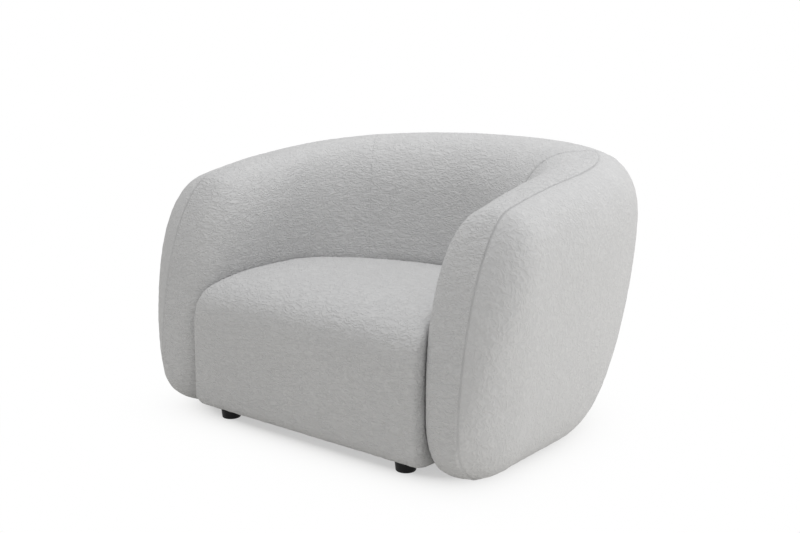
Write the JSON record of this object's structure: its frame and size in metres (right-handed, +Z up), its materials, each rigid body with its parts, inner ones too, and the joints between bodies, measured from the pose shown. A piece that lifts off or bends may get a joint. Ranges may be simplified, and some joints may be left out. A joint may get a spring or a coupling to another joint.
{
  "type": "tub chair",
  "caption": "Wraparound tub armchair in looped grey fabric, with padded arms and back in one curve, a deep fixed seat block and low round feet.",
  "frame": {"origin": "on the floor, under the middle of the chair's outline seen from above", "axes": "+Z up, the sitter faces -Y, the sitter's left arm is on +X"},
  "size_m": [1.14, 0.986, 0.678],
  "materials": {
    "boucle": "light grey boucle, looped pile, matt",
    "foam": "upholstery foam, open cell",
    "felt": "needled felt",
    "lining": "black non-woven lining",
    "timber": "planed hardwood, unfinished",
    "plywood": "birch plywood, sawn edges",
    "spring_steel": "oiled spring wire",
    "zinc_steel": "zinc-plated steel",
    "black_plastic": "black moulded plastic"
  },
  "bodies": {
    "root": {"arm_cover_left": "boucle", "arm_cover_right": "boucle", "back_cover": "boucle", "seat_cover": "boucle", "arm_foam_left": "foam", "arm_foam_right": "foam", "back_foam": "foam", "seat_foam": "foam", "spring_felt": "felt", "dust_cover": "lining", "front_rail": "timber", "rear_rail": "timber", "side_rail_left": "timber", "side_rail_right": "timber", "centre_bearer": "timber", "rear_bearer_left": "timber", "rear_bearer_right": "timber", "back_rail": "timber", "front_corner_block_left": "timber", "front_corner_block_right": "timber", "rear_corner_block_left": "timber", "rear_corner_block_right": "timber", "arm_slat_upper_left": "timber", "arm_slat_upper_right": "timber", "arm_slat_lower_left": "timber", "arm_slat_lower_right": "timber", "back_slat_top": "timber", "back_slat_lumbar": "timber", "arm_rib_front_left": "plywood", "arm_rib_front_right": "plywood", "arm_rib_rear_left": "plywood", "arm_rib_rear_right": "plywood", "back_rib_left": "plywood", "back_rib_right": "plywood", "back_rib_middle": "plywood", "seat_spring_1": "spring_steel", "seat_spring_2": "spring_steel", "seat_spring_3": "spring_steel", "seat_spring_4": "spring_steel", "spring_clip_front_1": "zinc_steel", "spring_clip_rear_1": "zinc_steel", "spring_clip_front_2": "zinc_steel", "spring_clip_rear_2": "zinc_steel", "spring_clip_front_3": "zinc_steel", "spring_clip_rear_3": "zinc_steel", "spring_clip_front_4": "zinc_steel", "spring_clip_rear_4": "zinc_steel", "arm_bolt_front_left": "zinc_steel", "arm_bolt_front_right": "zinc_steel", "arm_bolt_rear_left": "zinc_steel", "arm_bolt_rear_right": "zinc_steel", "foot_bolt_front_left": "zinc_steel", "foot_bolt_front_right": "zinc_steel", "foot_bolt_rear_left": "zinc_steel", "foot_bolt_rear_right": "zinc_steel", "foot_front_left": "black_plastic", "foot_front_right": "black_plastic", "foot_rear_left": "black_plastic", "foot_rear_right": "black_plastic"}
  },
  "joints": []
}
